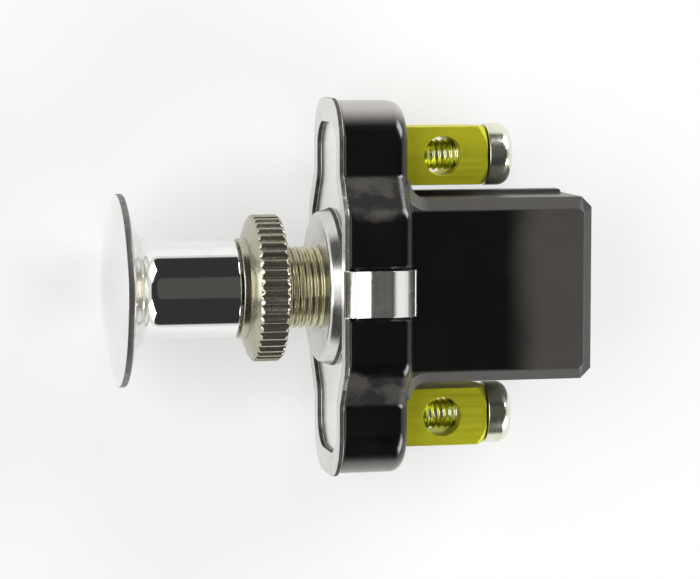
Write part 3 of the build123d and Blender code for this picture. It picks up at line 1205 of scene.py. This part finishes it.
@dataclass
class Terminals(Part):
    """Two brass posts with their screws and inner strips."""

    def build(self, screw: bpy.types.Material, brass: Colour, tarnish: Colour) -> None:
        """Build and dress both terminals.

        Args:
            screw: Plating of the screws.
            brass: Colour of clean brass.
            tarnish: Colour of dull brass.
        """
        post = Metal(
            "machined_brass",
            brass,
            tarnish,
            0.5,
            dull_share=0.7,
            marks=Marks.DRAWN,
            mark_depth=0.006,
            marks_per_mm=2.2,
        ).build()
        for side in ("upper", "lower"):
            self.dress_nodes([f"terminal_post_{side}"], post)
            TerminalScrew(self.nodes, side).build(screw)
        strip = Metal("rolled_brass", brass, tarnish, 0.3, marks=Marks.ROLLED).build()
        strips = ["fixed_contact_upper", "fixed_contact_lower", "bridging_contact"]
        self.dress_nodes(strips, strip)


@dataclass
class Mechanism(Part):
    """What works inside: shaft, carriage, contacts, rings, springs and detent."""

    def build(self) -> None:
        """Dress the inner pieces."""
        ground = Metal("ground_steel", (0.62, 0.62, 0.61), (0.4, 0.38, 0.35), 0.2)
        drawn = Metal(
            "spring_wire", (0.5, 0.5, 0.5), (0.3, 0.28, 0.26), 0.3, marks=Marks.CAST
        )
        silver = Metal("contact_silver", (0.86, 0.85, 0.82), (0.6, 0.57, 0.5), 0.28)
        resin = Moulding("carriage_resin", (0.08, 0.05, 0.035), (0.11, 0.075, 0.05), 0.45)
        self.dress_nodes(
            [
                "plunger_shaft",
                "front_retaining_ring",
                "rear_retaining_ring",
                "detent_ball_near",
                "detent_ball_far",
            ],
            ground.build(),
        )
        self.dress_nodes(["contact_spring", "detent_spring"], drawn.build())
        buttons = [
            f"{kind}_button_{side}"
            for kind in ("fixed", "moving")
            for side in ("upper", "lower")
        ]
        self.dress_nodes(buttons, silver.build())
        self.dress_nodes(["contact_carriage"], resin.build())


@dataclass
class Lamp:
    """One soft rectangular lamp that looks at the switch."""

    name: str
    azimuth_deg: float
    height_deg: float
    width: float
    length: float
    brightness: float
    distance: float = 1.2

    def build(self) -> None:
        """Hang the lamp."""
        light = bpy.data.lights.new(self.name, "AREA")
        light.shape = "RECTANGLE"
        light.size = self.width
        light.size_y = self.length
        light.energy = self.brightness * math.pi * self.width * self.length
        lamp = bpy.data.objects.new(self.name, light)
        around, up = math.radians(self.azimuth_deg), math.radians(self.height_deg)
        out = Vector(
            (math.cos(around) * math.cos(up), math.sin(around) * math.cos(up), math.sin(up))
        )
        lamp.location = out * self.distance
        lamp.rotation_euler = (-out).to_track_quat("-Z", "Y").to_euler()
        bpy.context.scene.collection.objects.link(lamp)
        LOG.info("lamp %s hung", self.name)


@dataclass
class Studio:
    """Pale floor, soft lamps, surroundings and the camera of the photograph's view."""

    floor_level: float = -12.92
    floor_half: float = 1500.0
    floor_colour: Colour = (0.93, 0.93, 0.93)
    floor_shade: float = 0.985
    floor_roughness: float = 0.9
    floor_white: float = 0.55
    dark: Colour = (0.035, 0.035, 0.037)
    overhead: Colour = (0.085, 0.082, 0.077)
    overhead_lean_deg: float = 8.0
    overhead_edge: Range = (0.885, 0.915)
    pale: Colour = (0.8, 0.8, 0.8)
    pale_edge: Range = (0.06, 0.14)
    end_edge: Range = (0.42, 0.6)
    end_rise: float = 0.42
    target: tuple[float, float, float] = (4.8, 0.0, 0.0)
    yaw_deg: float = 12.0
    rise_deg: float = 5.5
    distance: float = 380.0
    focal: float = 144.2
    shift_pixels: Point = (-0.5, -3.5)

    def build_floor(self) -> None:
        """Lay the floor, a little cloudy so that it isn't one flat colour."""
        mesh = bmesh.new()
        bmesh.ops.create_grid(mesh, x_segments=8, y_segments=8, size=self.floor_half * MM)
        floor = finished("studio_floor", mesh)
        floor.location = (0.0, 0.0, self.floor_level * MM)
        paper, graph = blank("floor_paper")
        grain = graph.noise(graph.place(), 0.01, 3.0)
        shade = tuple(self.floor_shade * part for part in self.floor_colour)
        lit = graph.node(
            "ShaderNodeBsdfPrincipled",
            None,
            {
                "Base Color": graph.blend(grain, self.floor_colour, shade),
                "Roughness": self.floor_roughness,
                "Specular IOR Level": 0.0,
            },
        )
        white = graph.node(
            "ShaderNodeEmission", None, {"Color": (1.0, 1.0, 1.0, 1.0), "Strength": 1.0}
        )
        mixed = graph.node(
            "ShaderNodeMixShader", None, {0: graph.seen() * self.floor_white, 1: lit, 2: white}
        )
        graph.node("ShaderNodeOutputMaterial", None, {"Surface": mixed})
        dress(floor, paper)
        floor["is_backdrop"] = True

    def build_world(self) -> None:
        """Surround the switch: pale low down, more so at its ends, and dim overhead."""
        world = bpy.data.worlds.new("surroundings")
        bpy.context.scene.world = world
        world.use_nodes = True
        graph = Graph(world.node_tree)
        out = graph.node("ShaderNodeTexCoord", output="Generated")
        x, y, z = graph.parts(out)
        lean = math.radians(self.overhead_lean_deg)
        toward = z * math.cos(lean) + y * math.sin(lean)
        above = graph.blend(toward.step(*self.overhead_edge), self.dark, self.overhead)
        reach = x.math("ABSOLUTE", x).step(*self.end_edge)
        low = 1.0 - (z - reach * self.end_rise).step(*self.pale_edge)
        colour = graph.blend(low, above, self.pale)
        glow = graph.node("ShaderNodeBackground", None, {"Color": colour, "Strength": 1.0})
        graph.node("ShaderNodeOutputWorld", None, {"Surface": glow})

    def build_lamps(self) -> None:
        """Hang the lamps: two behind the switch's rear, one in front of the knob."""
        lamps = (
            Lamp("lamp_rear_high", 43.0, 25.0, width=0.75, length=0.5, brightness=9.6),
            Lamp("lamp_rear_low", -38.0, 25.0, width=0.75, length=0.5, brightness=8.0),
            Lamp("lamp_knob", 172.0, 43.0, width=1.1, length=0.9, brightness=2.9),
        )
        for lamp in lamps:
            lamp.build()

    def build_camera(self) -> None:
        """Stand the camera where the photograph was taken from."""
        yaw, rise = math.radians(self.yaw_deg), math.radians(self.rise_deg)
        out = Vector(
            (-math.sin(yaw) * math.cos(rise), math.sin(rise), math.cos(yaw) * math.cos(rise))
        )
        right = (-out).cross(Vector((0.0, 1.0, 0.0))).normalized()
        up = right.cross(-out)
        data = bpy.data.cameras.new("view")
        data.sensor_width = 36.0
        data.lens = self.focal
        data.shift_x, data.shift_y = (pixels / PHOTO_WIDTH for pixels in self.shift_pixels)
        data.clip_start = 0.01
        data.clip_end = 10.0
        camera = bpy.data.objects.new("view", data)
        place = (Vector(self.target) + out * self.distance) * MM
        turned = Matrix((right, up, out)).transposed().to_4x4()
        camera.matrix_world = Matrix.Translation(place) @ turned
        bpy.context.scene.collection.objects.link(camera)
        bpy.context.scene.camera = camera

    def build(self) -> None:
        """Set up floor, surroundings, lamps and camera."""
        self.build_floor()
        self.build_world()
        self.build_lamps()
        self.build_camera()
        bpy.context.scene.view_settings.view_transform = "Standard"


def corners() -> list[list[float]]:
    """Give the shown object's lowest and highest corner, in metres."""
    return [list(corner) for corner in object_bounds()]


def main() -> None:
    """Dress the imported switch, build its turned pieces and set up the studio."""
    logging.basicConfig(level=logging.INFO, format="%(name)s: %(message)s")
    for old in list(bpy.data.objects):
        bpy.data.objects.remove(old)
    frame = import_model()
    nodes = frame["nodes"]
    chrome = Metal(
        "bright_chrome",
        (0.88, 0.88, 0.87),
        (0.76, 0.76, 0.75),
        0.05,
        dull_share=0.35,
        mark_depth=0.001,
        # Painted shade: a dark band on the rim land behind the dome, standing in for dark
        # reflection there.
        line=PaintedShadeLine(
            front_x=-27.15,
            rear_x=-26.2,
            inner_r=12.6,
            outer_z=20.0,
            colour=(0.17, 0.165, 0.155),
        ),
    ).build()
    nut_nickel = Metal("nut_nickel", (0.5, 0.475, 0.375), (0.36, 0.335, 0.25), 0.24).build()
    stem_plate = Metal(
        "stem_plate",
        (0.56, 0.54, 0.37),
        (0.42, 0.4, 0.22),
        0.19,
        mark_depth=0.0006,
        edge=0.02,
    ).build()
    screw_nickel = Metal("screw_nickel", (0.78, 0.8, 0.66), (0.56, 0.56, 0.36), 0.2).build()
    plate_nickel = Metal(
        "plate_nickel",
        (0.72, 0.71, 0.68),
        (0.58, 0.57, 0.51),
        0.24,
        # Painted reflection: brighter base colour on the recess floor and tabs.
        painted_brighter_colour=(0.88, 0.88, 0.85),
        marks=Marks.ROLLED,
        mark_depth=0.002,
        edge=0.04,
        crown=Crown(
            middle_x=6.5, flat_half=1.2, softness=0.6, slope=0.6, from_z=11.9, half_y=3.1
        ),
        # Painted shade: a dark band on the channel's far wall.
        line=PaintedShadeLine(
            front_x=1.5, rear_x=2.1, inner_r=0.0, outer_z=10.6, colour=(0.08, 0.078, 0.07)
        ),
    )
    phenolic = Moulding(
        "black_moulding",
        (0.0016, 0.0016, 0.0016),
        (0.003, 0.0029, 0.0028),
        0.13,
        # Painted sheen colour for the rear, sides, flares and ear tips.
        painted_sheen=(0.06, 0.055, 0.049),
    )
    fibre = Fibre("grey_fibre", (0.15, 0.14, 0.13), (0.24, 0.22, 0.2))
    Knob(nodes).build(chrome)
    FaceNut(nodes).build(nut_nickel)
    ThreadedStem(nodes).build(stem_plate)
    Case(nodes).build(plate_nickel, phenolic, fibre)
    Terminals(nodes).build(screw_nickel, (0.66, 0.66, 0.034), (0.5, 0.485, 0.03))
    Mechanism(nodes).build()
    Studio().build()


if __name__ == "__main__":
    main()
